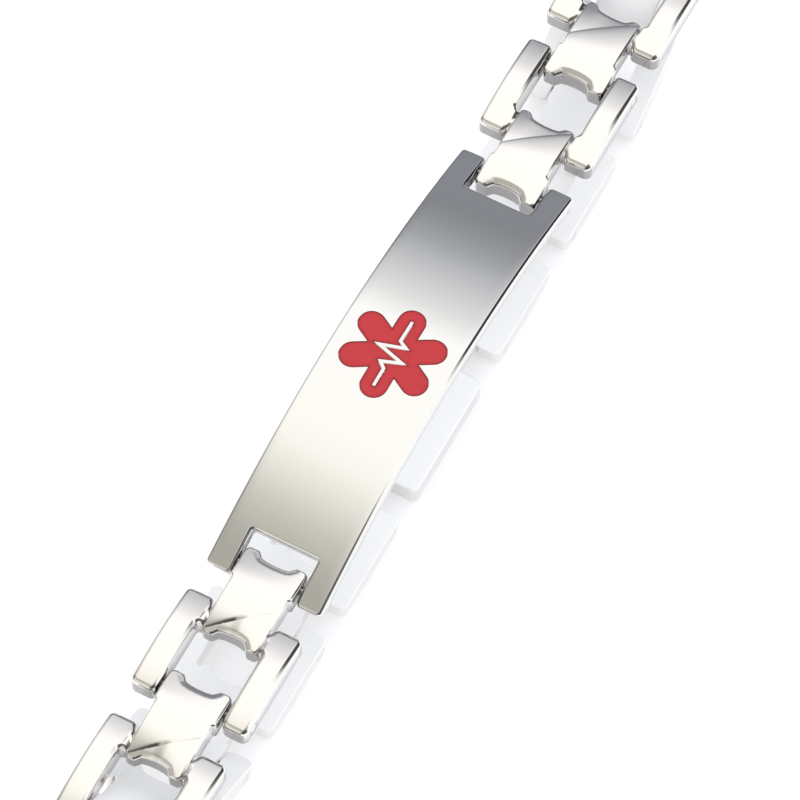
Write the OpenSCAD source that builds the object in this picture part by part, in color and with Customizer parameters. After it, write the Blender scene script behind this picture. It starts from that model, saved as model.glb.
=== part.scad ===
// Medical alert bracelet: an arched plate with an enamel emblem, ten cast links, hinge pins and a plain clasp.
// The closed loop lies folded flat on its clasp and lower links, with the plate on top.
// X runs along the plate, Z is up.

/* [Plate] */
// Length of the plate's top face along its curve
plate_length = 47; // [43:0.5:52]
// Radius of the plate's arched top face
plate_radius = 68; // [60:1:90]
// Thickness of the plate
plate_thick = 1.6; // [1.5:0.1:2.2]
// Depth of the notch at each end, along the curve
notch_depth = 4.3; // [3.6:0.1:6]
// Distance from the plate's ends to the hinge pins, along the curve
ear_reach = 1.4; // [1.1:0.1:1.8]
// Radius of the ears' rounded corners
ear_corner = 0.45; // [0.2:0.05:0.6]

/* [Band] */
// Width of the plate, the links and the clasp
band_width = 11; // [9.5:0.5:13]
// Width of the notches, between the ears or the side bars
notch_width = 6.2; // [5.4:0.1:6.8]
// Gap at each side of a tongue
tongue_gap = 0.2; // [0.1:0.05:0.3]

/* [Emblem] */
// Radius of the emblem to the tips of its petals
emblem_radius = 4.6; // [3.6:0.1:5]
// Width of a petal
petal_width = 2.4; // [1.8:0.1:3]
// Depth of the enamel
enamel_depth = 0.35; // [0.2:0.05:0.6]
// Gap round the enamel
enamel_gap = 0.02; // [0.01:0.01:0.05]
// Width of the steel pulse line
pulse_width = 0.32; // [0.2:0.02:0.5]

/* [Links] */
// Distance between a link's two pins
link_pitch = 12.85; // [12:0.05:14]
// Thickness of a link at its crest
link_thick = 2.3; // [2.1:0.1:3]
// Height of the pins above a link's underside
pin_height = 0.95; // [0.8:0.05:1.1]
// Reach of a tongue past its pin
tongue_tip = 1.35; // [1.1:0.05:1.6]
// Length of the wide head of a tongue
tongue_head = 3.2; // [2.8:0.1:3.6]
// How far a link's body stands in from the sides of its tongue's head
body_inset = 0.25; // [0.1:0.05:0.5]
// Distance from a link's first pin to the end of its body
body_end = 7.25; // [6.4:0.05:7.6]
// Fall of the body's dome from its crest to its ends
body_fall = 0.55; // [0.3:0.05:0.7]
// Distance from a link's first pin to its side bars
bar_start = 4.2; // [3.6:0.1:4.8]
// Reach of the side bars past the second pin
bar_tip = 1.35; // [1.1:0.05:1.6]
// Fall of the bars' domes from crest to ends
bar_fall = 0.5; // [0.4:0.05:0.6]
// Size of the bevel on the upper edges of the bars' ends
bar_bevel = 0.3; // [0.25:0.05:0.5]
// Depth of the hollow in each end of a body
hollow_depth = 0.65; // [0.4:0.05:0.8]
// Width of that hollow, between the two horns
hollow_width = 2.9; // [2:0.1:3.4]
// Radius of the horns' rounded corners
horn_corner = 0.45; // [0.2:0.05:0.6]
// Height of the webs that join a body to its bars
web_height = 1.7; // [1:0.05:1.75]
// How far short of the body's end the webs stop
web_inset = 0.35; // [0.1:0.05:0.8]

/* [Hinges] */
// Diameter of a hinge pin
pin_diameter = 0.8; // [0.6:0.05:0.9]
// Clearance between a pin and its bore, on the radius
pin_clearance = 0.04; // [0.02:0.01:0.08]
// How far a pin's ends lie below the band's sides
pin_recess = 0.06; // [0.02:0.02:0.2]

/* [Clasp] */
// Radius of the clasp's rounded corners
clasp_corner = 0.6; // [0.3:0.1:1]

/* [Lie of the loop] */
// Angle by which the first link beside the plate falls
first_fall = 0; // [-2:0.5:4]
// Angle by which the second link falls
second_fall = 1; // [0:0.5:6]
// Angle between the runs at each fold, where the third link leads from one to the other
fold_angle = 30; // [28:1:60]

/* [Hidden] */
SIDES = ["left", "right"];
LINKS = 5;

$fn = 96;
steel = [0.84, 0.83, 0.82];
enamel_red = [0.78, 0.2, 0.22];
bore_diameter = pin_diameter + 2*pin_clearance;
tongue_width = notch_width - 2*tongue_gap;
body_width = tongue_width - 2*body_inset;
bar_width = (band_width - notch_width)/2;
round_fullness = 1.04;
cut = 1;

// The plate's arc: half its angle, the angles of its pins and notches, and the height of its centre
mid_radius = plate_radius - plate_thick/2;
half_angle = plate_length/2/plate_radius*180/PI;
pin_angle = half_angle - ear_reach/plate_radius*180/PI;
notch_angle = half_angle - notch_depth/plate_radius*180/PI;
plate_pin_x = mid_radius*sin(pin_angle);
crown_rise = plate_radius - mid_radius*cos(pin_angle);

// How each link of a side falls, in turn from the plate: two nearly level, one folded back, two on the floor
falls = [first_fall, second_fall, 180 - fold_angle, 180, 180];
floor_pin_z = link_thick - pin_height;
plate_pin_z = floor_pin_z + link_pitch*(sin(first_fall) + sin(second_fall) + sin(fold_angle));
arch_centre_z = plate_pin_z + crown_rise - plate_radius;

// The point of pin i on the right side: each link adds its pitch along its own fall
function pin_point(i) =
    i == 0 ? [plate_pin_x, plate_pin_z]
    : pin_point(i - 1) + link_pitch*[cos(falls[i - 1]), -sin(falls[i - 1])];

// The clasp closes what the links leave open
clasp_pitch = 2*pin_point(LINKS).x;

// What is drilled for a pin, across the band through the origin
module bore() {
    rotate([90, 0, 0])
        cylinder(d = bore_diameter, h = band_width + cut, center = true);
}

// A bar with round ends, centred on the origin
module stadium(length, width) {
    square([length - width, width], center = true);
    for (end = [-1, 1])
        translate([end*(length - width)/2, 0])
            circle(d = width);
}

// Six round-ended petals, grown outwards by a margin
module petals(margin) {
    for (turn = [0, 60, 120])
        rotate(turn)
            stadium(2*(emblem_radius + margin), petal_width + 2*margin);
}

// The pulse line runs along the plate, level at both ends, in shares of the emblem's radius
pulse_shares = [
    [-0.76, 0],
    [-0.36, 0],
    [-0.25, 0.13],
    [-0.11, -0.24],
    [0.05, 0.32],
    [0.2, -0.16],
    [0.29, 0],
    [0.76, 0]
];

// The line's points, with its two ends moved outwards by a margin
function pulse_points(margin) =
    let(last = len(pulse_shares) - 1)
    [for (i = [0:last]) emblem_radius*pulse_shares[i] + [i == 0 ? -margin : i == last ? margin : 0, 0]];

// Where the line's edge turns at point i, half a width to its left, square at both ends
function pulse_edge(points, i, half) =
    let(
        last = len(points) - 1,
        before = points[min(i, last - 1) + 1] - points[min(i, last - 1)],
        after = points[max(i, 1)] - points[max(i, 1) - 1],
        normals = [[-before.y, before.x]/norm(before), [-after.y, after.x]/norm(after)],
        middle = (normals[0] + normals[1])/norm(normals[0] + normals[1])
    )
    points[i] + middle*half/(middle*normals[0]);

// The pulse line, grown by a margin all round
module pulse(margin) {
    points = pulse_points(margin);
    last = len(points) - 1;
    half = pulse_width/2 + margin;
    polygon(concat(
        [for (i = [0:last]) pulse_edge(points, i, half)],
        [for (i = [last:-1:0]) pulse_edge(points, i, -half)]
    ));
}

// A stretch of a shell round the arch's axis, between two radii and two angles from the crown
module arch(inner, outer, from_angle, to_angle, width) {
    reach = 2*outer;
    middle = (from_angle + to_angle)/2;
    translate([0, 0, arch_centre_z])
        rotate([90, 0, 0])
            linear_extrude(width, center = true)
                intersection() {
                    difference() {
                        circle(r = outer, $fn = 360);
                        circle(r = inner, $fn = 360);
                    }
                    polygon([
                        [0, 0],
                        reach*[sin(from_angle), cos(from_angle)],
                        reach*[sin(middle), cos(middle)],
                        reach*[sin(to_angle), cos(to_angle)]
                    ]);
                }
}

// Places its children in the frame of the arch at an angle from the crown: X along it, Z out of the top face
module on_arch(angle) {
    translate([0, 0, arch_centre_z])
        rotate([0, angle, 0])
            translate([0, 0, plate_radius])
                children();
}

// What rounding takes off a square corner at the origin, whose metal lies at negative X and Y.
// The round is a little fuller than a tangent one, so that it crosses both faces.
module corner_cut(radius, height) {
    translate([0, 0, -height])
        linear_extrude(height + cut)
            difference() {
                translate([-radius, -radius])
                    square(radius + cut);
                translate([-radius, -radius])
                    circle(r = round_fullness*radius);
            }
}

// What is cut for the enamel, or the enamel itself, between two depths under the top face, with a margin
// round its petals and one round the line
module inlay(depth_from, depth_to, petal_margin, line_margin) {
    intersection() {
        arch(plate_radius - depth_to, plate_radius - depth_from, -half_angle/2, half_angle/2, band_width);
        translate([0, 0, plate_pin_z])
            linear_extrude(2*crown_rise)
                difference() {
                    petals(petal_margin);
                    pulse(line_margin);
                }
    }
}

// Puts its children at both ends of the plate
module both_ends() {
    for (end = [0, 1])
        mirror([end, 0, 0])
            children();
}

// The arched strip with its two notches cut out
module notched_arch() {
    difference() {
        arch(plate_radius - plate_thick, plate_radius, -half_angle, half_angle, band_width);
        both_ends()
            arch(plate_radius - plate_thick - cut, plate_radius + cut, notch_angle, half_angle + 1, notch_width);
    }
}

// The notched arch with the outer and inner corners of its four ears rounded
module eared_arch() {
    difference() {
        notched_arch();
        both_ends()
            on_arch(half_angle)
                for (side = [0, 1])
                    mirror([0, side, 0]) {
                        translate([0, band_width/2, 0])
                            corner_cut(ear_corner, plate_thick + cut);
                        translate([0, notch_width/2, 0])
                            mirror([0, 1, 0])
                                corner_cut(ear_corner, plate_thick + cut);
                    }
    }
}

module id_plate() {
    color(steel)
        difference() {
            eared_arch();
            both_ends()
                on_arch(pin_angle)
                    translate([0, 0, -plate_thick/2])
                        bore();
            inlay(-cut, enamel_depth, enamel_gap, 0);
        }
}

module enamel_emblem() {
    color(enamel_red)
        inlay(0, enamel_depth - enamel_gap, 0, enamel_gap);
}

// A slab between two places along a link, flat below and domed above, falling towards both bevelled ends
module domed_slab(from, to, fall, bevel, width) {
    half = (to - from)/2;
    dome_radius = (half*half + fall*fall)/(2*fall);
    end_height = link_thick - fall;
    rotate([90, 0, 0])
        linear_extrude(width, center = true)
            intersection() {
                polygon([
                    [from, 0],
                    [to, 0],
                    [to, end_height - bevel],
                    [to - bevel - fall, link_thick],
                    [from + bevel + fall, link_thick],
                    [from, end_height - bevel]
                ]);
                translate([(from + to)/2, link_thick - dome_radius])
                    circle(r = dome_radius, $fn = 360);
            }
}

// The hollow in the end of a body or tongue that ends at the origin and has its metal at positive X
module end_hollow() {
    floor_radius = 4;
    intersection() {
        translate([-cut, -hollow_width/2])
            square([hollow_depth + cut, hollow_width]);
        translate([hollow_depth - floor_radius, 0])
            circle(r = floor_radius);
    }
}

// A square with its four corners rounded, from one corner to the opposite one
module rounded_square(from, to, radius) {
    translate([from.x + radius, from.y])
        square([to.x - from.x - 2*radius, to.y - from.y]);
    translate([from.x, from.y + radius])
        square([to.x - from.x, to.y - from.y - 2*radius]);
    for (x = [from.x + radius, to.x - radius], y = [from.y + radius, to.y - radius])
        translate([x, y])
            circle(r = radius);
}

// A link's body from above: the tongue's wide head, then the narrower body, hollow at both ends
module body_plan() {
    difference() {
        union() {
            rounded_square([-tongue_tip, -tongue_width/2], [tongue_head - tongue_tip, tongue_width/2], horn_corner);
            rounded_square([-tongue_tip, -body_width/2], [body_end, body_width/2], horn_corner);
        }
        translate([-tongue_tip, 0])
            end_hollow();
        translate([body_end, 0])
            mirror([1, 0])
                end_hollow();
    }
}

// A link along X, its first pin over the origin, its underside at Z = 0
module link_shape() {
    difference() {
        union() {
            intersection() {
                domed_slab(-tongue_tip, body_end, body_fall, 0, band_width);
                linear_extrude(link_thick)
                    body_plan();
            }
            for (side = [0, 1])
                mirror([0, side, 0]) {
                    translate([0, (band_width - bar_width)/2, 0])
                        domed_slab(bar_start, link_pitch + bar_tip, bar_fall, bar_bevel, bar_width);
                    translate([bar_start + bar_bevel, body_width/2 - horn_corner, 0])
                        cube([
                            body_end - web_inset - bar_start - bar_bevel,
                            band_width/2 - bar_width/2 - body_width/2 + horn_corner,
                            web_height
                        ]);
                }
        }
        for (x = [0, link_pitch])
            translate([x, 0, pin_height])
                bore();
    }
}

// Puts its children on a side of the loop, the left one mirrored
module on_side(side) {
    mirror([side == "left" ? 1 : 0, 0, 0])
        children();
}

module chain_link(side, i) {
    start = pin_point(i - 1);
    color(steel)
        on_side(side)
            translate([start.x, 0, start.y])
                rotate([0, falls[i - 1], 0])
                    translate([0, 0, -pin_height])
                        link_shape();
}

module hinge_pin(side, i) {
    place = pin_point(i - 1);
    color(steel)
        on_side(side)
            translate([place.x, 0, place.y])
                rotate([90, 0, 0])
                    cylinder(d = pin_diameter, h = band_width - 2*pin_recess, center = true);
}

// The clasp lies outer face down, with a tongue at each end
module clasp() {
    block_end = clasp_pitch/2 - bar_start;
    tongue_end = clasp_pitch/2 + tongue_tip;
    color(steel)
        difference() {
            linear_extrude(link_thick)
                difference() {
                    union() {
                        rounded_square([-block_end, -band_width/2], [block_end, band_width/2], clasp_corner);
                        rounded_square([-tongue_end, -tongue_width/2], [tongue_end, tongue_width/2], horn_corner);
                    }
                    for (end = [0, 1])
                        mirror([end, 0])
                            translate([-tongue_end, 0])
                                end_hollow();
                }
            for (end = [-1, 1])
                translate([end*clasp_pitch/2, 0, floor_pin_z])
                    bore();
        }
}

id_plate();
enamel_emblem();
clasp();
for (side = SIDES, i = [1:LINKS])
    chain_link(side, i);
for (side = SIDES, i = [1:LINKS + 1])
    hinge_pin(side, i);
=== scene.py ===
"""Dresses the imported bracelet: polished plate, enamel, cast links, pins and clasp, on a pale studio floor."""

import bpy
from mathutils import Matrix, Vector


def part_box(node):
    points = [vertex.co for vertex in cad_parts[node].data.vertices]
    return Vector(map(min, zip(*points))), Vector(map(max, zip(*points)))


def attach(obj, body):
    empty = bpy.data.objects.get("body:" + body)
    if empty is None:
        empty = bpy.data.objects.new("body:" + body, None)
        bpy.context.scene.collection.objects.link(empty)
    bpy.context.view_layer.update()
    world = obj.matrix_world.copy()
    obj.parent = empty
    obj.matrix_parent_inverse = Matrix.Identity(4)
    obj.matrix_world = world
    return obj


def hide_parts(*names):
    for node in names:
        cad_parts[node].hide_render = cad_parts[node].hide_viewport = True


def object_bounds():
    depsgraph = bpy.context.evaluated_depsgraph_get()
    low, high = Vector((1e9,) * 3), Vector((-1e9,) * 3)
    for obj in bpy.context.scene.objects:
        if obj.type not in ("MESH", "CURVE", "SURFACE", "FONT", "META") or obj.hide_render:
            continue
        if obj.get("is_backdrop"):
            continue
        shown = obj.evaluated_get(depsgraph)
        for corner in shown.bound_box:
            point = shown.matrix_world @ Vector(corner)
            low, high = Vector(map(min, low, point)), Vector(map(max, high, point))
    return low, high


bl_info = {
    "name": "Medical Alert Bracelet",
    "version": (1, 0, 0),
    "blender": (4, 5, 0),
    "location": "3D View > Sidebar > Bracelet",
    "description": "Makes a link bracelet with an arched plate and an enamel emblem",
    "category": "Add Mesh",
}

import bpy
import numpy as np
from mathutils import Matrix, Vector
from mathutils.geometry import delaunay_2d_cdt

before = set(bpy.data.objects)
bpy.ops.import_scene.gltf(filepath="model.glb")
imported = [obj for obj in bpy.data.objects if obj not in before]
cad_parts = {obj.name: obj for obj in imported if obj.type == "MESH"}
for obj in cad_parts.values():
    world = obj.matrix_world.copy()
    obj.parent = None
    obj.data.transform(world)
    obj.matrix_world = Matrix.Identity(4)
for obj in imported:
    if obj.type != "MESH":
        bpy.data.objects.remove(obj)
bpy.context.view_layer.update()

MM = 0.001
SIDES = ("left", "right")
# How many links a side has, and how many of them lie in the upper run before the next one folds back
LINKS, UPPER_LINKS = 5, 2
# Points of the pulse line, as shares of the emblem's radius
PULSE_SHARES = (
    (-0.76, 0), (-0.36, 0), (-0.25, 0.13), (-0.11, -0.24), (0.05, 0.32), (0.2, -0.16), (0.29, 0), (0.76, 0),
)
BORE_POINTS, PIN_POINTS, FLOOR_POINTS = 32, 24, 64
# How far before its sides the plate's top starts to roll off
ROLL_REACH = 0.9*MM
# How near a point lies to a hinge's wall to count as part of it
ON_WALL = 0.05*MM
# The near-black colour that steel is darkened towards where painted shade lies, in crevices and at the feet of
# walls
PAINTED_SHADE_COLOUR = (0.035, 0.035, 0.04)
# Each steel's roughness, how far it drifts, how its polishing lines stretch along X, Y and Z, and their relief
GRAINS = {
    "mirror_steel": (0.035, 0.012, (60, 900, 900), 0.02),
    "cast_steel": (0.12, 0.03, (300, 300, 300), 0.05),
    "clasp_steel": (0.12, 0.04, (80, 2500, 2500), 0.2),
    "drawn_steel": (0.28, 0.06, (3000, 80, 3000), 0.3),
}
# How far the floor reaches to each side, and how far it lies below the part
FLOOR_REACH, BELOW_PART = 3.0, 0.01*MM


def size(name, millimetres, description):
    """A length that a user may change, in metres."""
    return bpy.props.FloatProperty(
        name=name, description=description, default=millimetres*MM, min=0, unit="LENGTH", precision=5
    )


def colour(name, default, description):
    """A colour that a user may change, in linear light."""
    return bpy.props.FloatVectorProperty(
        name=name, description=description, default=default, size=3, min=0, max=1, subtype="COLOR"
    )


class BraceletSizes(bpy.types.PropertyGroup):
    """Sizes of the plate, the links and the emblem"""

    plate_length: size("Plate length", 47, "Length of the plate's top face along its curve")
    plate_radius: size("Plate radius", 68, "Radius of the plate's arched top face")
    plate_thick: size("Plate thickness", 1.6, "Thickness of the plate")
    plate_edge: size("Plate edge", 0.33, "Radius of the polished round on the plate's edges")
    plate_roll: size("Plate roll", 0.02, "How far the polished top falls towards the plate's long edges")
    notch_depth: size("Notch depth", 4.3, "Depth of the notch at each end")
    notch_width: size("Notch width", 6.2, "Width of the notch between the ears")
    ear_reach: size("Ear reach", 1.4, "Distance from the plate's ends to the hinge pins along the curve")
    ear_corner: size("Ear corner", 0.45, "Radius of the ears' rounded corners")
    band_width: size("Band width", 11, "Width of the plate, the links and the clasp")
    bore: size("Bore", 0.88, "Diameter of the hinge pins' bores")
    emblem_radius: size("Emblem radius", 4.6, "Radius of the emblem to the tips of its petals")
    petal_width: size("Petal width", 2.4, "Width of a petal")
    enamel_depth: size("Enamel depth", 0.35, "Depth of the enamel")
    enamel_gap: size("Enamel gap", 0.02, "Gap round the enamel")
    pulse_width: size("Pulse line width", 0.32, "Width of the steel pulse line")
    link_thick: size("Link thickness", 2.3, "Thickness of a link at its crest")
    body_edge: size("Body edge", 0.2, "Radius of the soft round on a body's upper edges")
    bar_edge: size("Bar edge", 0.45, "Radius of the soft round on a bar's upper edges")
    pin_height: size("Pin height", 0.95, "Height of the pins above a link's underside")
    tongue_width: size("Tongue width", 5.8, "Width of a tongue's head")
    tongue_tip: size("Tongue tip", 1.35, "Reach of a tongue past its pin")
    tongue_head: size("Tongue head", 3.2, "Length of the wide head of a tongue")
    body_width: size("Body width", 5.3, "Width of a link's body behind the head")
    body_end: size("Body end", 7.25, "Distance from a link's first pin to the end of its body")
    body_fall: size("Body fall", 0.49, "Fall of the body's dome from its crest over half its length")
    body_crown: size("Body crown", 0.2, "Fall of the body from its middle line to its sides")
    near_bevel: size("Near bevel", 0.55, "Width of the soft bevel round a body's near hollow")
    far_bevel: size("Far bevel", 0.38, "Width of the soft bevel round a body's far hollow")
    crease_depth: size("Crease depth", 0.035, "How far the body's top curls down to its slanting crease")
    bar_start: size("Bar start", 4.2, "Distance from a link's first pin to its side bars")
    bar_tip: size("Bar tip", 1.35, "Reach of the side bars past the second pin")
    bar_fall: size("Bar fall", 0.48, "Fall of the bars' domes from their crest over half their length")
    hollow_depth: size("Hollow depth", 0.65, "Depth of the hollow in each end of a body")
    hollow_width: size("Hollow width", 2.9, "Width of that hollow, half way down")
    horn_corner: size("Horn corner", 0.45, "Radius of the horns' outer corners")
    web_height: size("Web height", 1.7, "Height of the low webs between a body and its bars")
    clasp_corner: size("Clasp corner", 0.6, "Radius of the clasp's rounded corners")


class BraceletColours(bpy.types.PropertyGroup):
    """Colours of the metal and the enamel"""

    plate_steel: colour("Plate steel", (0.82, 0.81, 0.795), "Colour of the mirror-polished plate")
    link_steel: colour("Link steel", (0.86, 0.835, 0.815), "Colour of the polished cast links")
    clasp_steel: colour("Clasp steel", (0.8, 0.785, 0.77), "Colour of the clasp")
    blasted_steel: colour("Blasted steel", (0.9, 0.905, 0.91), "Colour of the pale blasted inner faces")
    pin_steel: colour("Pin steel", (0.62, 0.61, 0.6), "Colour of the drawn wire pins")
    enamel: colour("Enamel", (0.46, 0.018, 0.024), "Colour of the enamel")
    enamel_rim: colour("Enamel rim", (0.3, 0.007, 0.012), "Colour of the enamel along its rim")
    floor: colour("Floor", (0.6, 0.6, 0.605), "Colour of the studio floor, a light table that also glows")


def unit(vectors):
    """Each row over its own length."""
    return vectors/np.linalg.norm(vectors, axis=-1, keepdims=True)


def left_of(vectors):
    """Each plane vector turned a quarter turn to the left."""
    return np.stack([-vectors[..., 1], vectors[..., 0]], -1)


def rounded(corners, radii, bend=12):
    """A closed outline whose corners are arcs that touch both edges. An arc starts radius times tan(half the
    turn) before its corner, and its centre lies one radius to the inside of that point. It turns by at most bend
    degrees from point to point."""
    corners = np.asarray(corners, float)
    edges = unit(np.roll(corners, -1, 0) - corners)
    arriving = np.roll(edges, 1, 0)
    turns = np.arctan2((left_of(arriving)*edges).sum(1), (arriving*edges).sum(1))
    parts = []
    for corner, way, turn, radius in zip(corners, arriving, turns, radii):
        if radius == 0 or abs(turn) < 1e-6:
            parts.append(corner[None])
            continue
        inside = left_of(way)*np.sign(turn)
        centre = corner - way*radius*np.tan(abs(turn)/2) + inside*radius
        angles = np.linspace(0, abs(turn), int(np.ceil(np.degrees(abs(turn))/bend)) + 1)[:, None]
        parts.append(centre + radius*(way*np.sin(angles) - inside*np.cos(angles)))
    return np.concatenate(parts)


def divided(outline, step):
    """The same outline with its long edges cut into equal parts no longer than a step."""
    spans = np.roll(outline, -1, 0) - outline
    parts = np.maximum(1, np.ceil(np.linalg.norm(spans, axis=1)/step - 1e-6)).astype(int)
    firsts = np.repeat(np.cumsum(parts) - parts, parts)
    shares = (np.arange(parts.sum()) - firsts)/np.repeat(parts, parts)
    return np.repeat(outline, parts, 0) + np.repeat(spans, parts, 0)*shares[:, None]


def way_in(outline):
    """At each point the way into the metal: the left normals of its two edges added, and stretched so that
    a move along it by a distance leaves both edges by that distance."""
    normals = left_of(unit(np.roll(outline, -1, 0) - outline))
    both = normals + np.roll(normals, 1, 0)
    return both/(both*normals).sum(1, keepdims=True)

def inside(points, loop):
    """Which points lie inside a loop: a ray towards +X crosses its edges an odd number of times."""
    a, b = loop, np.roll(loop, -1, 0)
    y = points[:, 1, None]
    spans = (a[:, 1] > y) != (b[:, 1] > y)
    rise = np.where(b[:, 1] == a[:, 1], 1, b[:, 1] - a[:, 1])
    crossing = a[:, 0] + (y - a[:, 1])*(b[:, 0] - a[:, 0])/rise
    return (spans & (points[:, 0, None] < crossing)).sum(1) % 2 == 1


def distance(points, loop):
    """How far each point lies from the nearest edge of a loop: its foot on each edge is held between the ends."""
    spans = np.roll(loop, -1, 0) - loop
    apart = points[:, None] - loop
    shares = np.clip((apart*spans).sum(2)/(spans*spans).sum(1), 0, 1)
    return np.linalg.norm(apart - shares[..., None]*spans, axis=2).min(1)


def between(points, loops):
    """Which points lie inside the first loop and outside the others."""
    found = inside(points, loops[0])
    for hole in loops[1:]:
        found &= ~inside(points, hole)
    return found


def filled(loops, grid=None, clear=0.0):
    """Delaunay triangles inside the first loop and outside the others, over the loops' points and those of a grid
    that lie between the loops and are clear of them."""
    points = np.concatenate(loops)
    starts = np.cumsum([0] + [len(loop) for loop in loops])
    edges = [
        (int(start + i), int(start + (i + 1) % len(loop)))
        for start, loop in zip(starts, loops) for i in range(len(loop))
    ]
    if grid is not None:
        grid = grid[between(grid, loops)]
        for loop in loops:
            grid = grid[distance(grid, loop) > clear]
        points = np.concatenate([points, grid])
    found = delaunay_2d_cdt([Vector(p) for p in points/MM], edges, [], 0, 1e-7)
    crossings = [tuple(point) for point, sources in zip(found[0], found[3]) if not sources]
    if crossings:
        raise ValueError(f"an outline crosses itself near {crossings[0]} mm")
    first = np.array([sources[0] for sources in found[3]])
    triangles = first[np.array(found[2])]
    triangles = triangles[between(points[triangles].mean(1), loops)]
    return points, triangles


def lattice(us, vs):
    """Every pair of the two lists as a row."""
    return np.stack(np.meshgrid(us, vs, indexing="ij"), -1).reshape(-1, 2)


def surface(height):
    """Gives a height over the plane with its upward normal, from the slopes to a micrometre either side."""
    def found(points):
        u, v = points.T
        step = 1e-6
        slopes = [
            (height(u + du, v + dv) - height(u - du, v - dv))/(2*step) for du, dv in ((step, 0), (0, step))
        ]
        return height(u, v), unit(np.stack([-slopes[0], -slopes[1], np.ones_like(u)], 1))
    return found


def level(height):
    """A flat surface."""
    return surface(lambda u, v: np.full_like(u, height))


class Skin:
    """Gathers the patches of a closed surface. Each patch keeps its own normals, and points that meet are joined.
    A patch is polished, or takes the piece's second finish."""

    def __init__(self):
        self.points, self.normals, self.faces, self.finishes, self.count = [], [], [], [], 0

    def add(self, points, normals, faces, finish=0):
        """Adds a patch of points with their normals, and its faces as rows of indices into them."""
        self.points.append(points)
        self.normals.append(normals)
        self.faces += (faces + self.count).tolist()
        self.finishes += [finish]*len(faces)
        self.count += len(points)

    def grid(self, points, normals, keep=None, finish=0):
        """Adds closed rows of points, first index upwards and second along. Each four neighbours make a quad."""
        rows, columns = points.shape[:2]
        index = np.arange(rows*columns).reshape(rows, columns)
        after = np.roll(index, -1, 1)
        quads = np.stack([index[:-1], after[:-1], after[1:], index[1:]], -1)
        if keep is not None:
            quads = quads[keep]
        self.add(points.reshape(-1, 3), normals.reshape(-1, 3), quads.reshape(-1, 4), finish)

    def cap(self, loops, cover, grid, clear, down=False, finish=0):
        """Closes the space between loops with triangles on a surface."""
        flat, triangles = filled(loops, grid, clear)
        heights, normals = cover(flat)
        if down:
            normals, triangles = -normals, triangles[:, ::-1]
        self.add(np.column_stack([flat, heights]), normals, triangles, finish)

    def mesh(self, name, place, **kept):
        """A mesh of the placed patches, with their points joined where they lie within a hundredth of a
        micrometre. Values to be kept with the points are worked out from their places before the move."""
        flat = np.concatenate(self.points)
        points, normals = place(flat, np.concatenate(self.normals))
        keys = np.round(points/1e-8).astype(np.int64)
        _, first, joined = np.unique(keys, axis=0, return_index=True, return_inverse=True)
        joined = joined.ravel()
        corners = np.concatenate(self.faces)
        mesh = bpy.data.meshes.new(name)
        mesh.from_pydata(points[first], [], [joined[face].tolist() for face in self.faces])
        mesh.polygons.foreach_set("material_index", np.array(self.finishes, np.int32))
        mesh.shade_smooth()
        mesh.normals_split_custom_set(unit(normals[corners]))
        for attribute, found in kept.items():
            values = found(*flat[first].T).astype(np.float32)
            mesh.attributes.new(attribute, "FLOAT", "POINT").data.foreach_set("value", values)
        return mesh


def quarter_round(edge, steps=4):
    """A quarter round as how far in it stands, how far from the face it lies, and how far it leans over."""
    lean = np.linspace(0, np.pi/2, steps + 1)
    return np.stack([edge*(1 - np.cos(lean)), edge*(1 - np.sin(lean)), lean], 1)


def ring(count):
    """Unit vectors in equal steps round the Y axis."""
    turn = np.linspace(0, 2*np.pi, count, endpoint=False)
    return np.stack([np.cos(turn), np.zeros(count), np.sin(turn)], 1)


def courses(loop, cover, rows, sign=1):
    """Rows of points along a loop with their normals. Each row stands in by an inset, lies by a drop from the
    surface towards the middle of the wall, and leans over. The sign is -1 on the underside."""
    inward = way_in(loop)
    outward = np.column_stack([-unit(inward), np.zeros(len(loop))])
    points, normals = [], []
    for inset, drop, lean in rows:
        flat = loop + inward*inset
        height, up = cover(flat)
        points.append(np.column_stack([flat, height - sign*drop]))
        normals.append(unit(outward*np.cos(lean) + sign*up*np.sin(lean)))
    return points, normals


def walls(skin, loop, top, bottom, edges, bores, finishes):
    """A wall along a loop with a quarter round at both edges, and the insides of its bores. A bore is its place,
    height and radius, and the two walls that it runs between. Gives the loops at which the rounds end."""
    upper, lower = quarter_round(edges[0]), quarter_round(edges[1])[::-1]
    low, high = courses(loop, bottom, lower, -1), courses(loop, top, upper)
    rings, leans = (np.array(first + last) for first, last in zip(low, high))
    wall = len(lower) - 1
    keep, around = np.ones((1, len(loop)), bool), ring(BORE_POINTS)
    for bore in bores:
        keep[0] &= bored_wall(skin, loop, rings[wall], rings[wall + 1], bore)
        place, height, radius, *sides = bore
        tube = np.array([around*radius + [place, side, height] for side in sides])
        skin.grid(tube, np.array([-around, -around]))
    skin.grid(rings[:wall + 1], leans[:wall + 1], finish=finishes[1])
    skin.grid(rings[wall:wall + 2], leans[wall:wall + 2], keep=keep)
    skin.grid(rings[wall + 1:], leans[wall + 1:], finish=finishes[0])
    return rings[0][:, :2], rings[-1][:, :2]


def slab(skin, loops, top, bottom, edges, grid, clear, bores=(), finishes=(0, 1)):
    """A solid between two surfaces: walls along each loop, and both surfaces closed between the loops. The
    finishes are those of the top and the bottom with their rounds."""
    lows, highs = zip(*(walls(skin, loop, top, bottom, edges, bores, finishes) for loop in loops))
    skin.cap(lows, bottom, grid, clear, down=True, finish=finishes[1])
    skin.cap(highs, top, grid, clear, finish=finishes[0])


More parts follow.
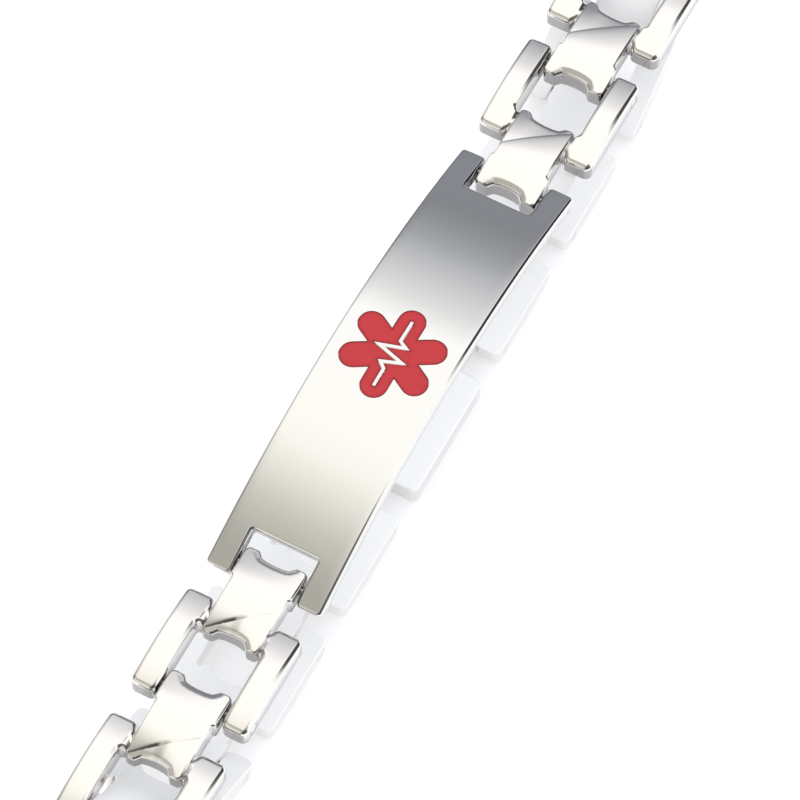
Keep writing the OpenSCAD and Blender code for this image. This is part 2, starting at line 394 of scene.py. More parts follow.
def bored_wall(skin, loop, low, high, bore):
    """Fills the stretch of wall round a bore with triangles that leave out its circle, and says which of the
    wall's quads stay."""
    place, height, radius, near, far = bore
    circle = [place, height] + ring(BORE_POINTS)[:, [0, 2]]*radius
    stay = np.ones(len(loop), bool)
    following = np.roll(loop, -1, 0)
    for side, facing in ((near, -1), (far, 1)):
        on_wall = (abs(loop[:, 1] - side) < 1e-7) & (abs(following[:, 1] - side) < 1e-7)
        gone = np.flatnonzero(on_wall & (abs((loop + following)[:, 0]/2 - place) < 1.6*radius))
        if not len(gone):
            continue
        stay[gone] = False
        along = np.append(gone, (gone[-1] + 1) % len(loop))
        border = np.concatenate([low[along], high[along][::-1]])[:, [0, 2]]
        flat, triangles = filled([border, circle])
        if facing > 0:
            triangles = triangles[:, ::-1]
        points = np.column_stack([flat[:, 0], np.full(len(flat), side), flat[:, 1]])
        skin.add(points, np.tile([0.0, facing, 0.0], (len(points), 1)), triangles)
    return stay


def on_arch(radius, crown, roll=0, side=1, thick=1):
    """Bends a flat piece over the plate's arch: the distance along becomes an angle, and the height adds to the
    radius, so that height 0 is the plate's top face. The top rolls off before its sides by the square of the
    way, and the roll fades down to nothing at the bottom."""
    def place(points, normals):
        angle = points[:, 0]/radius
        sine, cosine = np.sin(angle), np.cos(angle)
        share = 1 + points[:, 2]/thick
        past = np.clip(abs(points[:, 1]) - side + ROLL_REACH, 0, None)/ROLL_REACH
        reach = radius + points[:, 2] - roll*share*past**2
        u, v, h = normals.T
        v = v + h*share*np.sign(points[:, 1])*2*roll*past/ROLL_REACH
        return (
            np.stack([reach*sine, points[:, 1], crown - radius + reach*cosine], 1),
            np.stack([u*cosine + h*sine, v, h*cosine - u*sine], 1),
        )
    return place


def moved(matrix):
    """Turns and moves a piece by a rigid matrix."""
    turn, shift = np.array(matrix)[:3, :3], np.array(matrix)[:3, 3]
    return lambda points, normals: (points @ turn.T + shift, normals @ turn.T)


def petals(sizes, margin):
    """Six round-ended petals in one outline. Neighbours meet where their straight sides cross, half way between
    them and off the centre by the half width over the sine of 30 degrees."""
    half = sizes.petal_width/2 + margin
    tip = sizes.emblem_radius - sizes.petal_width/2
    arc = np.linspace(-np.pi/2, np.pi/2, 17)
    petal = np.stack([tip + half*np.cos(arc), half*np.sin(arc)], 1)
    petal = np.concatenate([[[half/np.tan(np.pi/6), -half]], petal])
    turns = np.radians(60)*np.arange(6)
    cosine, sine = np.cos(turns)[:, None], np.sin(turns)[:, None]
    x, y = petal.T
    outline = np.stack([x*cosine - y*sine, x*sine + y*cosine], -1).reshape(-1, 2)
    return divided(outline, 0.16*MM)


def pulse(sizes, margin):
    """The pulse line's outline: its points, moved to both sides to where two edges' offsets meet."""
    line = np.array(PULSE_SHARES)*sizes.emblem_radius
    line[0, 0] -= margin
    line[-1, 0] += margin
    half = sizes.pulse_width/2 + margin
    edges = left_of(unit(np.diff(line, axis=0)))
    before, after = np.concatenate([edges[:1], edges]), np.concatenate([edges, edges[-1:]])
    both = before + after
    offset = both/(both*after).sum(1, keepdims=True)*half
    return np.concatenate([line - offset, (line + offset)[::-1]])


def mirrored(corners):
    """Corners with their radii on the other side of the middle line, in reverse order."""
    return [(x, -y, radius) for x, y, radius in reversed(corners)]


def outlined(corners, step):
    """An outline through corners with their radii, in steps."""
    corners = np.array(corners)
    return divided(rounded(corners[:, :2], corners[:, 2]), step)


def plate_outline(sizes):
    """The plate laid flat, from the middle of one side round its four ears and two notches."""
    end, deep = sizes.plate_length/2, sizes.plate_length/2 - sizes.notch_depth
    side, notch, ear, fillet = sizes.band_width/2, sizes.notch_width/2, sizes.ear_corner, 0.22*MM
    half = [(end, -side, ear), (end, -notch, ear), (deep, -notch, fillet)]
    right = half + mirrored(half)
    return outlined([(0, -side, 0)] + right + [(-x, -y, radius) for x, y, radius in right], 0.5*MM)


def ear_bores(sizes):
    """The bores through the plate's four ears."""
    place = sizes.plate_length/2 - sizes.ear_reach
    side, notch = sizes.band_width/2, sizes.notch_width/2
    sides = ((-side, -notch), (notch, side))
    return [(x, -sizes.plate_thick/2, sizes.bore/2, *ear) for x in (-place, place) for ear in sides]


def hollow(sizes, end, facing):
    """The hollow in a body's end, from its lower horn to its upper one: splayed sides and a bowed floor."""
    splay, bow = 0.22*MM, 0.16*MM
    half, deep = sizes.hollow_width/2, sizes.hollow_depth
    corner, floor = end - facing*(deep - bow), end - facing*(deep - bow/4)
    lower = [(end, -half - splay, 0.28*MM), (corner, -half + splay, 0.18*MM), (floor, -half/2, 0)]
    return lower + [(end - facing*deep, 0, 0)] + mirrored(lower)


def body_outline(sizes):
    """A link's body from above: the far hollow, a side, the step out to the tongue's head, and back."""
    side, head = sizes.body_width/2, sizes.tongue_width/2
    step = sizes.tongue_head - sizes.tongue_tip
    upper = [
        (sizes.body_end, side, sizes.horn_corner), (step, side, 0.12*MM),
        (step - 0.12*MM, head, 0.25*MM), (-sizes.tongue_tip, head, sizes.horn_corner),
    ]
    far, near = hollow(sizes, sizes.body_end, 1), hollow(sizes, -sizes.tongue_tip, -1)
    return outlined(far[3:] + upper + near[::-1] + mirrored(upper) + far[:3], 0.3*MM)


def dome(middle, half, crest, fall):
    """The height of an arc that falls by a given amount at half its length from the middle."""
    radius = (half**2 + fall**2)/(2*fall)
    return lambda u: crest - radius + np.sqrt(radius**2 - (u - middle)**2)


def eased(share):
    """Goes from 0 to 1 as a share does, level at both ends."""
    share = np.clip(share, 0, 1)
    return share*share*(3 - 2*share)


def body_dome(sizes):
    """The body's dome along the link, whose crest lies nearer to the plate than to the far end."""
    half = (sizes.body_end + sizes.tongue_tip)/2
    return dome(sizes.body_end - half - 0.2*MM, half, sizes.link_thick, sizes.body_fall)


def body_hollows(sizes):
    """The far and the near hollow of a body's outline as loops, each with the ways into the metal."""
    outline = body_outline(sizes)
    ways = way_in(outline)
    across = abs(outline[:, 1]) < 1.62*MM
    far, near = outline[:, 0] > sizes.body_end/2, outline[:, 0] < 0
    return [(outline[across & part], ways[across & part]) for part in (far, near)]


# A point of the slanting crease and the way across it
CREASE, CREASE_NORMAL = np.array([5.1, 0])*MM, unit(np.array([4.6, 3.6]))
# How far the crease's two curls reach, and over what width they fade across the link
BROAD_CURL, STEEP_CURL, CURL_FADE = 0.45*MM, 0.09*MM, 2.5*MM
# The width of the facet along the crease, and its slope on the left and the right links
FACET_WIDTH, FACET_SLOPES = 0.3*MM, (0.42, 0)
BEVEL_SLOPE = 0.364
# Before its start the near end is lifted by this times the square of the distance from there
LIFT_START, LIFT = 0.5*MM, 0.022/MM


def soft(reach, blend):
    """A distance past a line that starts softly before it: the logarithm of one plus its exponential."""
    return blend*np.logaddexp(0, reach/blend)


def body_top(sizes, facet):
    """The body's dome, flatter towards its near end, less a shallow crown across it, the curl towards a slanting
    crease, a facet along the crease whose slope fades out over the middle, and a bevel of 20 degrees round each
    hollow. Up to the crease the curl grows as a broad and a steep exponential of the distance. The steep one
    fades towards one side, and there the surface rises a little beyond the crease."""
    along = body_dome(sizes)
    hollows = body_hollows(sizes)

    def height(u, v):
        past = (u - CREASE[0])*CREASE_NORMAL[0] + v*CREASE_NORMAL[1]
        steep = 0.35 + 0.65*eased((1*MM - v)/CURL_FADE)
        before = np.minimum(past, 0)
        curl = 0.6*np.exp(before/BROAD_CURL) + steep*np.exp(before/STEEP_CURL)
        rise = 0.06*np.maximum(past, 0)*eased((v + 1*MM)/CURL_FADE)
        fall = sizes.body_crown*(v/(sizes.tongue_width/2))**2 + sizes.crease_depth*curl - rise
        fall = fall - LIFT*np.minimum(u - LIFT_START, 0)**2
        fall = fall + facet*eased((0.5*MM - v)/(1.1*MM))*soft(FACET_WIDTH + before, 0.03*MM)
        for (line, _), reach in zip(hollows, (sizes.far_bevel, sizes.near_bevel)):
            fall = fall + BEVEL_SLOPE*soft(reach - distance(np.stack([u, v], 1), line), 0.05*MM)
        return along(u) - fall
    return surface(height)


def body_grid(sizes):
    """Points for a body's top: a plain lattice that leaves a strip along the crease to rows beside it, and rows
    round the hollows."""
    plain = lattice(np.arange(-1.2, 7.2, 0.3)*MM, np.linspace(-2.4, 2.4, 9)*MM)
    plain = plain[abs((plain - CREASE) @ CREASE_NORMAL + 0.12*MM) > 0.4*MM]
    beside = np.array([-0.4, -0.33, -0.27, -0.2, -0.12, -0.06, -0.01, 0.01, 0.15])*MM
    along, past = lattice(np.arange(-3.6, 3.7, 0.2)*MM, beside).T
    crease = CREASE + along[:, None]*left_of(CREASE_NORMAL) + past[:, None]*CREASE_NORMAL
    fars = np.array([0.3, 0.38, 0.46, 0.54, 0.62, 0.72])*MM
    rows = [line + ways*far for line, ways in body_hollows(sizes) for far in fars]
    return np.concatenate([plain, crease, *rows])


def bar_top(sizes, pitch):
    """A bar's dome along the link. Where the bar spreads inwards over the web, it sinks to the body's side."""
    start, end = sizes.bar_start, pitch + sizes.bar_tip
    half = (end - start)/2
    bar = dome(start + half + 0.3*MM, half, sizes.link_thick, sizes.bar_fall)
    body = body_dome(sizes)
    notch, side = sizes.notch_width/2, sizes.body_width/2

    def height(u, v):
        share = eased((notch - abs(v))/(notch - side))
        return bar(u) + share*(body(np.minimum(u, sizes.body_end)) - 0.12*MM - bar(u))
    return surface(height)


def bar_outline(sizes, pitch, sign):
    """A side bar from above. Beside the body it spreads inwards, slanting, until it meets the body's side."""
    start, end = sizes.bar_start, pitch + sizes.bar_tip
    side, notch, web = sizes.band_width/2, sizes.notch_width/2, sizes.body_width/2 - 0.42*MM
    step, wide, slant = sizes.body_end - 0.3*MM, 0.6*MM, 0.52*MM
    corners = [
        (start, side, wide), (start, notch - 0.05*MM, slant), (start + 1.9*MM, web, slant), (step, web, slant),
        (step, notch, 0.25*MM), (end, notch, wide), (end, side, wide),
    ]
    return outlined(corners if sign > 0 else mirrored(corners), 0.3*MM)


def link_skin(sizes, pitch, facet):
    """A cast link along X with its first pin over the origin: a domed body, two bars that meet its sides, and low
    webs in the slots that they leave. The facet is the slope along the body's crease."""
    skin = Skin()
    side, notch, head = sizes.band_width/2, sizes.notch_width/2, sizes.tongue_width/2
    radius, height = sizes.bore/2, sizes.pin_height
    bar_foot, web_foot, foot_edge = level(0.015*MM), level(0.05*MM), 0.1*MM
    top, edges, grid = body_top(sizes, facet), (sizes.body_edge, foot_edge), body_grid(sizes)
    bores = [(0, height, radius, -head, head)]
    slab(skin, [body_outline(sizes)], top, level(0), edges, grid, 0.08*MM, bores)
    start, end = sizes.bar_start, pitch + sizes.bar_tip
    stations = np.arange(start + 0.45*MM, end - 0.4*MM, 0.3*MM)
    valley = sizes.body_width/2 + np.array([-0.1, 0.02, 0.12, 0.24, 0.36])*MM
    rows = np.concatenate([valley, np.linspace(notch, side, 7)[:-1]])
    top, edges = bar_top(sizes, pitch), (sizes.bar_edge, foot_edge)
    web_top, web_edges = level(sizes.web_height), (0.12*MM, 0.08*MM)
    for sign in (-1, 1):
        outline, grid = bar_outline(sizes, pitch, sign), lattice(stations, sign*rows)
        bores = [(pitch, height, radius, *sorted((sign*notch, sign*side)))]
        slab(skin, [outline], top, bar_foot, edges, grid, 0.05*MM, bores)
        near, far = sorted((sign*(sizes.body_width/2 - 0.3*MM), sign*(notch + 0.3*MM)))
        first, last = start + 0.5*MM, start + 2.2*MM
        web = rounded([(first, near), (last, near), (last, far), (first, far)], [0.14*MM]*4, bend=30)
        slab(skin, [divided(web, 0.5*MM)], web_top, web_foot, web_edges, None, 0, finishes=(1, 1))
    return skin


def link_painted_shade(sizes, pitch, upper):
    """Painted shade, by which the steel's colour darkens: full on the walls beside the hinges, those of the
    tongue's head and, on the upper links, the bars' inner ones round the next pin. On these links the foot of
    every wall and the low walls at the ends get painted shade about half as dark."""
    head, notch = sizes.tongue_width/2, sizes.notch_width/2
    foot, body_low, bar_low, on_outline = 0.5*MM, 1.7*MM, 1.45*MM, 0.005*MM
    low_walls = [(body_outline(sizes), body_low)]
    low_walls += [(bar_outline(sizes, pitch, sign), bar_low) for sign in (-1, 1)]

    def painted_shade_share(u, v, z):
        side = abs(v)
        tongue = (abs(side - head) < ON_WALL) & (u < sizes.tongue_head - sizes.tongue_tip)
        bars = (abs(side - notch) < ON_WALL) & (u > pitch - 1.6*MM) & upper
        low = z < foot
        for outline, height in low_walls:
            low |= (z < height) & (distance(np.stack([u, v], 1), outline) < on_outline)
        # Painted shade on the walls beside the hinges, fading out towards their tops
        hinge = (tongue | bars)*eased((sizes.link_thick - 0.45*MM - z)/(0.3*MM))
        # Painted shade a little over half as dark at the foot of every wall and on the low end walls, standing in
        # for contact shadow, on the upper links only
        return np.maximum(hinge, 0.55*(low & upper))
    return painted_shade_share


def clasp_skin(sizes, half_pitch):
    """The plain clasp: a block with a tongue at each end."""
    block, tip = half_pitch - sizes.bar_start, half_pitch + sizes.tongue_tip
    side, head = sizes.band_width/2, sizes.tongue_width/2
    right = hollow(sizes, tip, 1)[3:]
    right += [(tip, head, sizes.horn_corner), (block, head, 0.2*MM), (block, side, sizes.clasp_corner)]
    upper = right + [(-x, y, radius) for x, y, radius in reversed(right)]
    outline = outlined(upper + mirrored(upper)[1:-1], 0.6*MM)
    skin = Skin()
    height, edges = sizes.link_thick - sizes.pin_height, (0.2*MM, 0.2*MM)
    bores = [(sign*half_pitch, height, sizes.bore/2, -head, head) for sign in (-1, 1)]
    slab(skin, [outline], level(sizes.link_thick), level(0), edges, None, 0, bores, finishes=(1, 0))
    return skin


def pin_skin(radius, half):
    """A wire pin along Y: a profile turned about the axis. Its ends are swaged wider to fill their bores, and
    ground nearly flat with the sides."""
    half, end = half + 0.05*MM, radius + 0.034*MM
    profile = np.array([
        (0, half), (end - 0.02*MM, half), (end, half - 0.02*MM), (end, half - 0.3*MM), (radius, half - 0.7*MM),
    ])
    lean = np.radians([90, 88, 4, 3, 2])
    profile = np.concatenate([profile, profile[::-1]*[1, -1]])
    lean = np.concatenate([lean, -lean[::-1]])
    out, along = ring(PIN_POINTS), np.array([0, 1.0, 0])
    rows, index = slice(1, -1), np.arange(PIN_POINTS)
    points = profile[rows, 0, None, None]*out + profile[rows, 1, None, None]*along
    normals = np.cos(lean[rows])[:, None, None]*out + np.sin(lean[rows])[:, None, None]*along
    skin = Skin()
    skin.grid(points[::-1, ::-1], normals[::-1, ::-1])
    for row, sign in ((0, 1), (-1, -1)):
        fan = np.concatenate([[along*sign*half], points[row]])
        triangles = np.stack([0*index, 1 + index, 1 + (index + 1) % PIN_POINTS], 1)
        if sign > 0:
            triangles = triangles[:, ::-1]
        skin.add(fan, np.tile(along*sign, (len(fan), 1)), triangles, 1)
    return skin


class Tree:
    """Adds nodes to a material or world, each with its inputs by name or place, and joins them."""

    def __init__(self, owner):
        owner.use_nodes = True
        self.nodes, self.links = owner.node_tree.nodes, owner.node_tree.links
        self.nodes.clear()

    def add(self, kind, settings=None, **inputs):
        """A node of a kind, whose settings are its attributes, with a value or an output for each named input."""
        node = self.nodes.new(kind)
        for name, value in (settings or {}).items():
            setattr(node, name, value)
        for name, value in inputs.items():
            self.feed(node, name.replace("_", " "), value)
        return node

    def feed(self, node, name, value):
        """Sets an input, or joins an output to it."""
        socket = node.inputs[int(name[1:])] if name[0] == "i" and name[1:].isdigit() else node.inputs[name]
        if isinstance(value, bpy.types.NodeSocket):
            self.links.new(value, socket)
        else:
            socket.default_value = value

    def math(self, operation, *values, clamp=False):
        """The output of a Math node over its values in order."""
        inputs = {f"i{place}": value for place, value in enumerate(values)}
        return self.add("ShaderNodeMath", {"operation": operation, "use_clamp": clamp}, **inputs).outputs[0]

    def ramp(self, factor, stops):
        """The colour of a ramp, whose stops are a position and a colour."""
        node = self.add("ShaderNodeValToRGB", Fac=factor)
        elements = node.color_ramp.elements
        for place, _ in stops[len(elements):]:
            elements.new(place)
        for element, (place, tint) in zip(sorted(elements, key=lambda e: e.position), stops):
            element.position = place
            element.color = (*tint, 1)
        return node.outputs["Color"]

    def noise(self, place, scale, detail):
        """The strength of a noise at a place."""
        return self.add("ShaderNodeTexNoise", Vector=place, Scale=scale, Detail=detail).outputs[0]

    def kept(self, name):
        """The value that a mesh keeps with its points."""
        return self.add("ShaderNodeAttribute", {"attribute_name": name}).outputs["Fac"]

    def mix(self, share, first, second):
        """A colour between two colours."""
        inputs = {"i0": share, "i6": (*first, 1), "i7": (*second, 1)}
        return self.add("ShaderNodeMix", {"data_type": "RGBA"}, **inputs).outputs[2]

    def fade(self, value, start, end, first, last):
        """Goes from the first number to the last as a value goes from start to end, and stays there beyond."""
        inputs = {"From_Min": start, "From_Max": end, "To_Min": first, "To_Max": last}
        return self.add("ShaderNodeMapRange", Value=value, **inputs).outputs[0]

    def bump(self, height, strength, reach):
        """Normals that a height tilts."""
        return self.add("ShaderNodeBump", Height=height, Strength=strength, Distance=reach).outputs[0]

    def principled(self, **inputs):
        """Ends the tree in a surface."""
        shader = self.add("ShaderNodeBsdfPrincipled", **inputs)
        self.add("ShaderNodeOutputMaterial", Surface=shader.outputs[0])


def new_material(name):
    """A material with its tree, and the place on the object that its patterns go by."""
    material = bpy.data.materials.new(name)
    tree = Tree(material)
    return material, tree, tree.add("ShaderNodeTexCoord").outputs["Object"]


def grained_steel(name, tint):
    """Polished steel: its roughness drifts over a noise, faint polishing lines are its bump, and its colour is
    darkened nearly to black by painted shade, kept with the mesh's points, in its crevices and at the feet of
    walls."""
    if name in bpy.data.materials:
        return bpy.data.materials[name]
    roughness, spread, stretch, relief = GRAINS[name]
    material, tree, place = new_material(name)
    fine = tree.noise(tree.add("ShaderNodeMapping", Vector=place, Scale=stretch).outputs[0], 1, 2)
    mixed = tree.math("MULTIPLY_ADD", tree.noise(place, 180, 3), 0.6, tree.math("MULTIPLY", fine, 0.4))
    tree.principled(
        # Painted shade: the base colour goes towards near black by the share that the mesh keeps with its points
        Base_Color=tree.mix(tree.kept("crevice"), tint, PAINTED_SHADE_COLOUR), Metallic=1.0,
        Roughness=tree.fade(mixed, 0.3, 0.7, roughness - spread, roughness + spread),
        Normal=tree.bump(fine, relief, 2e-6),
    )
    return material


def blasted_steel(tint):
    """Blasted steel, as on the inner faces: pale and nearly matt, with a fine pitted grain."""
    if "blasted_steel" in bpy.data.materials:
        return bpy.data.materials["blasted_steel"]
    material, tree, place = new_material("blasted_steel")
    tree.principled(
        Base_Color=(*tint, 1), Metallic=0.2, Roughness=tree.fade(tree.noise(place, 250, 2), 0.3, 0.7, 0.45, 0.6),
        Normal=tree.bump(tree.noise(place, 9000, 2), 0.25, 4e-6),
    )
    return material


def glossy_enamel(tint, rim_tint):
    """Fired enamel: red that darkens towards its rim and drifts a little, under a clear glossy coat with a
    faint ripple."""
    material, tree, place = new_material("red_enamel")
    inner = tree.math("SUBTRACT", tree.kept("rim"), 0.25)
    share = tree.math("MULTIPLY_ADD", tree.noise(place, 700, 3), 0.5, inner, clamp=True)
    tree.principled(
        Base_Color=tree.mix(share, rim_tint, tint), Roughness=0.3, Specular_IOR_Level=0.25,
        Normal=tree.bump(tree.noise(place, 1500, 1), 0.15, 1e-5), Coat_Weight=0.35, Coat_Roughness=0.06,
    )
    return material


def piece(mesh, finishes, slot, *nodes):
    """Puts a mesh into the scene in the place of CAD nodes, with its finishes. The slot is not used."""
    thing = bpy.data.objects.new(mesh.name, mesh)
    bpy.context.scene.collection.objects.link(thing)
    for finish in finishes:
        mesh.materials.append(finish)
    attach(thing, "root")
    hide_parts(*nodes)


def centre(node):
    """The middle of a CAD node's box."""
    low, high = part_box(node)
    return (low + high)/2


def crown_height():
    """The height of the plate's crown."""
    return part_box("id_plate")[1].z


def chosen(context):
    """The sizes and the colours that the user has set."""
    return context.scene.bracelet_sizes, context.scene.bracelet_colours


class BRACELET_OT_plate(bpy.types.Operator):
    """Makes the arched plate with its notches, bores and enamel pocket"""

    bl_idname = "bracelet.plate"
    bl_label = "Make plate"

    def execute(self, context):
        sizes, colours = chosen(context)
        roll, side, thick = sizes.plate_roll, sizes.band_width/2, sizes.plate_thick
        arch = on_arch(sizes.plate_radius, crown_height(), roll, side, thick)
        # The plate keeps a painted shade in its notches and at the feet of its walls
        mesh = plate_skin(sizes).mesh("plate_polished", arch, crevice=plate_painted_shade(sizes))
        finishes = [grained_steel("mirror_steel", colours.plate_steel), blasted_steel(colours.blasted_steel)]
        piece(mesh, finishes, "plate_steel", "id_plate")
        return {"FINISHED"}


def plate_skin(sizes):
    """The plate laid flat: its walls and faces, with the pocket sunk into its top and the pulse line left
    standing in it."""
    skin = Skin()
    rim, clear = 0.03*MM, 0.12*MM
    top, bottom, edges = level(0), level(-sizes.plate_thick), (sizes.plate_edge, sizes.plate_edge)
    across = np.concatenate([np.linspace(-4.5, 4.5, 11), [-5.05, -4.9, -4.7, 4.7, 4.9, 5.05]])
    grid = lattice(np.arange(-23.25, 23.5, 0.5)*MM, np.sort(across)*MM)
    low, high = walls(skin, plate_outline(sizes), top, bottom, edges, ear_bores(sizes), (0, 0))
    skin.cap([low], bottom, grid, clear, down=True, finish=1)
    floors, brims = [petals(sizes, sizes.enamel_gap)[::-1], pulse(sizes, 0)], []
    for loop in floors:
        points, normals = courses(loop, top, ((0, sizes.enamel_depth, 0), *quarter_round(rim, 2)))
        skin.grid(np.array(points), np.array(normals))
        brims.append(points[-1][:, :2])
    fine = lattice(np.arange(-5.6, 5.7, 0.25)*MM, np.arange(-5, 5.1, 0.25)*MM)
    near = abs(grid[:, 0]) < 5.7*MM
    skin.cap([high, brims[0]], top, np.concatenate([grid[~near], fine]), clear)
    skin.cap([brims[1]], top, None, 0)
    skin.cap([floors[0][::-1], floors[1]], level(-sizes.enamel_depth), fine, 0.1*MM)
    return skin


def plate_painted_shade(sizes):
    """Painted shade, by which the steel's colour darkens: full on the notches' side walls, a little over half as
    dark on their end walls, and a third as dark at the foot of every wall."""
    notch, deep = sizes.notch_width/2, sizes.plate_length/2 - sizes.notch_depth

    def painted_shade_share(u, v, z):
        along, side = abs(u), abs(v)
        sides = (abs(side - notch) < ON_WALL) & (along > deep + 0.3*MM)
        ends = (side < notch + ON_WALL) & (abs(along - deep - 0.125*MM) < 0.175*MM) & (z < -0.3*MM)
        # Painted shade: full on the notches' side walls below their tops, 0.6 on their end walls, 0.3 at the feet
        # of all walls
        return np.maximum(sides*eased((-0.2*MM - z)/(0.2*MM)), np.maximum(0.6*ends, 0.3*(z < -1.2*MM)))
    return painted_shade_share


class BRACELET_OT_enamel(bpy.types.Operator):
    """Makes the enamel that fills the pocket round the pulse line"""

    bl_idname = "bracelet.enamel"
    bl_label = "Make enamel"

    def execute(self, context):
        sizes, colours = chosen(context)
        loops = [petals(sizes, 0), pulse(sizes, sizes.enamel_gap)[::-1]]
        skin = Skin()
        steps = np.arange(-4.6, 4.61, 0.13)*MM
        lowest, edges = level(-sizes.enamel_depth + sizes.enamel_gap), (0.06*MM, 0.02*MM)
        slab(skin, loops, level(-0.005*MM), lowest, edges, lattice(steps, steps), 0.05*MM, finishes=(0, 0))

        def rim(u, v, _):
            nearest = np.minimum(*(distance(np.stack([u, v], 1), loop) for loop in loops))
            return np.clip(nearest/(0.28*MM), 0, 1)

        mesh = skin.mesh("enamel_fill", on_arch(sizes.plate_radius, crown_height()), rim=rim)
        enamel = glossy_enamel(colours.enamel, colours.enamel_rim)
        piece(mesh, [enamel], "red_enamel", "enamel_emblem")
        return {"FINISHED"}


class BRACELET_OT_links(bpy.types.Operator):
    """Makes the ten cast links, each between its two pins"""

    bl_idname = "bracelet.links"
    bl_label = "Make links"

    def execute(self, context):
        sizes, colours = chosen(context)
        pitch = (centre("pin_right_2") - centre("pin_right_1")).length
        finishes = [grained_steel("cast_steel", colours.link_steel), blasted_steel(colours.blasted_steel)]
        for side, facet in zip(SIDES, FACET_SLOPES):
            skin = link_skin(sizes, pitch, facet)
            across = Vector((0, 1 if side == "right" else -1, 0))
            for i in range(1, LINKS + 1):
                start = centre(f"pin_{side}_{i}")
                along = (centre(f"pin_{side}_{i + 1}") - start).normalized()
                up = along.cross(across)
                turn = Matrix((along, across, up)).transposed().to_4x4()
                matrix = Matrix.Translation(start - up*sizes.pin_height) @ turn
                seen = i <= UPPER_LINKS + 1
                # The links near the plate keep a painted shade at their hinges and at the feet of their walls
                kept = {"crevice": link_painted_shade(sizes, pitch, i <= UPPER_LINKS)} if seen else {}
                mesh = skin.mesh(f"link_polished_{side}_{i}", moved(matrix), **kept)
                piece(mesh, finishes, "link_steel", f"link_{side}_{i}")
        return {"FINISHED"}


class BRACELET_OT_pins(bpy.types.Operator):
    """Makes the hinge pins"""

    bl_idname = "bracelet.pins"
    bl_label = "Make pins"

    def execute(self, context):
        colours = context.scene.bracelet_colours
        low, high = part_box("pin_right_1")
        skin = pin_skin((high.x - low.x)/2, (high.y - low.y)/2)
        drawn = grained_steel("drawn_steel", colours.pin_steel)
        cast = grained_steel("cast_steel", colours.link_steel)
        for side in SIDES:
            for i in range(1, LINKS + 2):
                node = f"pin_{side}_{i}"
                mesh = skin.mesh(f"pin_turned_{side}_{i}", moved(Matrix.Translation(centre(node))))
                piece(mesh, [drawn, cast], "pin_steel", node)
        return {"FINISHED"}


class BRACELET_OT_clasp(bpy.types.Operator):
    """Makes the plain clasp"""

    bl_idname = "bracelet.clasp"
    bl_label = "Make clasp"

    def execute(self, context):
        sizes, colours = chosen(context)
        skin = clasp_skin(sizes, centre(f"pin_right_{LINKS + 1}").x)
        mesh = skin.mesh("clasp_polished", lambda points, normals: (points, normals))
        finishes = [grained_steel("clasp_steel", colours.clasp_steel), blasted_steel(colours.blasted_steel)]
        piece(mesh, finishes, "clasp_steel", "clasp")
        return {"FINISHED"}


# The soft box's brightness by the way from its middle, and its red, green and blue by four such ways
SOFT_BOX = (
    (-1.3, 0.75), (-1, 0.52), (-0.8, 0.42), (-0.58, 0.4), (-0.52, 0.45), (-0.43, 0.58), (-0.34, 0.775),
    (-0.25, 0.95), (-0.16, 1), (0.16, 1), (0.23, 0.75), (0.28, 0.63), (0.33, 0.5), (0.37, 0.38), (0.41, 0.3),
    (0.45, 0.245), (0.54, 0.25), (0.9, 0.2),
)
TINT_WAYS, TINTS = (-0.5, 0, 0.2, 0.5), ((1.02, 1, 1, 0.95), (1, 1, 1, 1), (0.9, 0.98, 1, 1.12))
# Where the soft box's middle lies on the ramp, how much of the ramp one unit of way takes, and the room's level
RAMP_MIDDLE, RAMP_SPAN, ROOM = 0.6, 0.4, 1.2


def studio_world(world):
    """Surroundings for a mirror: a bright soft box hangs overhead, leaning towards +X. Its brightness goes by the
    distance along X from its middle, stretched towards +Y, so that it narrows there, and it fades to a dim warm
    wall on the near side and a bluish dark room on the far side. Near the horizon the room is dark towards +X,
    grey towards +Y and pale elsewhere. Two black screens stand towards -Y, one to each side of the camera.
    Diffuse surfaces see an even pale sky instead."""
    tree = Tree(world)
    direction = tree.add("ShaderNodeTexCoord").outputs["Generated"]
    x, y, z = tree.add("ShaderNodeSeparateXYZ", Vector=direction).outputs
    offset = tree.math("MULTIPLY", tree.math("SUBTRACT", x, 0.35), tree.fade(y, -0.02, 0.54, 0.6, 1.5))
    place = tree.math("MULTIPLY_ADD", offset, RAMP_SPAN, RAMP_MIDDLE)
    stops = []
    for way, bright in SOFT_BOX:
        tint = tuple(bright*np.interp(way, TINT_WAYS, shares) for shares in TINTS)
        stops.append((RAMP_MIDDLE + RAMP_SPAN*way, tint))
    glow = tree.ramp(place, stops)
    room = tree.fade(x, 0.35, 0.65, ROOM, 0.3)
    height = tree.fade(z, 0.05, 0.4, 0, 1)
    low = tree.math("MULTIPLY_ADD", height, tree.math("SUBTRACT", ROOM, room), room)
    low = tree.math("MULTIPLY", low, tree.fade(y, 0.45, 0.9, 1, 0.45))
    ends = tree.math("ADD", tree.fade(x, 0.42, 0.5, 0, 1), tree.fade(x, 0.14, 0.03, 0, 0.9))
    screens = tree.math("MULTIPLY", ends, tree.fade(y, -0.04, -0.2, 0, 1))
    low = tree.math("MULTIPLY", low, tree.math("MULTIPLY_ADD", screens, -0.95, 1))
    glossy = tree.add("ShaderNodeLightPath").outputs["Is Glossy Ray"]
    even = tree.add("ShaderNodeBackground", Color=(0.97, 0.98, 1.0, 1), Strength=1.35).outputs[0]
    mirror = tree.add("ShaderNodeBackground", Color=glow, Strength=low).outputs[0]
    mixed = tree.add("ShaderNodeMixShader", i0=glossy, i1=even, i2=mirror).outputs[0]
    tree.add("ShaderNodeOutputWorld", Surface=mixed)


# The direction from the target to the camera and the distance in millimetres, as fitted to the photo
CAMERA_WAY, CAMERA_DISTANCE = (-0.42095, -0.22645, 0.87836), 419.51
TARGET, LENS, SENSOR_WIDTH = (-3.690*MM, -2.652*MM), 225.01, 36


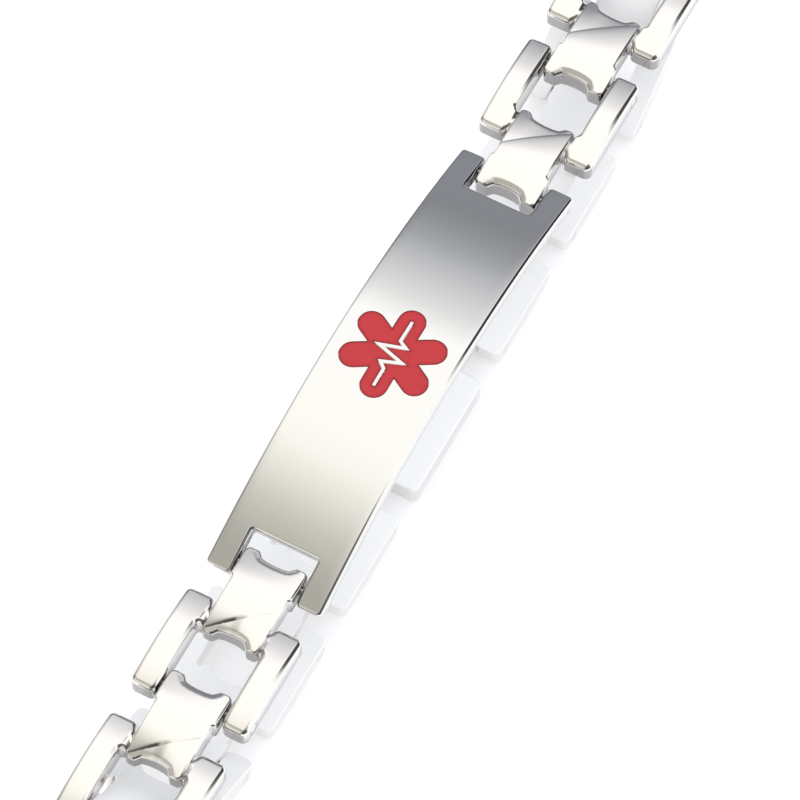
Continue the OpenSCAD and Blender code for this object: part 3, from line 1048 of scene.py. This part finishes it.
class BRACELET_OT_stage(bpy.types.Operator):
    """Makes the floor, the studio light and the camera"""

    bl_idname = "bracelet.stage"
    bl_label = "Make stage"

    def execute(self, context):
        scene = context.scene
        scene.view_settings.view_transform = "Standard"
        scene.view_settings.look = "None"

        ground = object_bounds()[0][2]
        mesh = bpy.data.meshes.new("studio_floor")
        border = ring(FLOOR_POINTS)[:, [0, 2, 1]]*FLOOR_REACH + [0, 0, ground - BELOW_PART]
        mesh.from_pydata(border, [], [list(range(FLOOR_POINTS))])
        floor = bpy.data.objects.new("studio_floor", mesh)
        scene.collection.objects.link(floor)
        floor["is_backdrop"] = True
        material, tree, place = new_material("studio_floor")
        tree.principled(
            Base_Color=(*scene.bracelet_colours.floor, 1), Specular_IOR_Level=0.1,
            Roughness=tree.fade(tree.noise(place, 60, 2), 0, 1, 0.75, 0.95),
            Emission_Color=(0.97, 0.98, 1, 1), Emission_Strength=0.45,
        )
        mesh.materials.append(material)

        scene.world = bpy.data.worlds.new("studio")
        studio_world(scene.world)

        back = Vector(CAMERA_WAY).normalized()
        camera = bpy.data.objects.new("camera", bpy.data.cameras.new("camera"))
        camera.data.lens = LENS
        camera.data.sensor_width = SENSOR_WIDTH
        camera.data.clip_start = 0.01
        camera.location = Vector((*TARGET, crown_height())) + back*CAMERA_DISTANCE*MM
        camera.rotation_euler = back.to_track_quat("Z", "Y").to_euler()
        scene.collection.objects.link(camera)
        scene.camera = camera
        return {"FINISHED"}


class BRACELET_PT_panel(bpy.types.Panel):
    """Lists the bracelet's pieces and sizes"""

    bl_label = "Bracelet"
    bl_idname = "BRACELET_PT_panel"
    bl_space_type = "VIEW_3D"
    bl_region_type = "UI"
    bl_category = "Bracelet"

    def draw(self, context):
        for operator in OPERATORS:
            self.layout.operator(operator.bl_idname)
        for group in chosen(context):
            box = self.layout.box()
            for name in group.__annotations__:
                box.prop(group, name)


OPERATORS = (
    BRACELET_OT_plate, BRACELET_OT_enamel, BRACELET_OT_links,
    BRACELET_OT_pins, BRACELET_OT_clasp, BRACELET_OT_stage,
)
CLASSES = (BraceletSizes, BraceletColours, *OPERATORS, BRACELET_PT_panel)


def register():
    for cls in CLASSES:
        bpy.utils.register_class(cls)
    bpy.types.Scene.bracelet_sizes = bpy.props.PointerProperty(type=BraceletSizes)
    bpy.types.Scene.bracelet_colours = bpy.props.PointerProperty(type=BraceletColours)


def unregister():
    del bpy.types.Scene.bracelet_colours
    del bpy.types.Scene.bracelet_sizes
    for cls in reversed(CLASSES):
        bpy.utils.unregister_class(cls)


def main():
    register()
    bpy.ops.bracelet.plate()
    bpy.ops.bracelet.enamel()
    bpy.ops.bracelet.links()
    bpy.ops.bracelet.pins()
    bpy.ops.bracelet.clasp()
    bpy.ops.bracelet.stage()


if __name__ == "__main__":
    main()
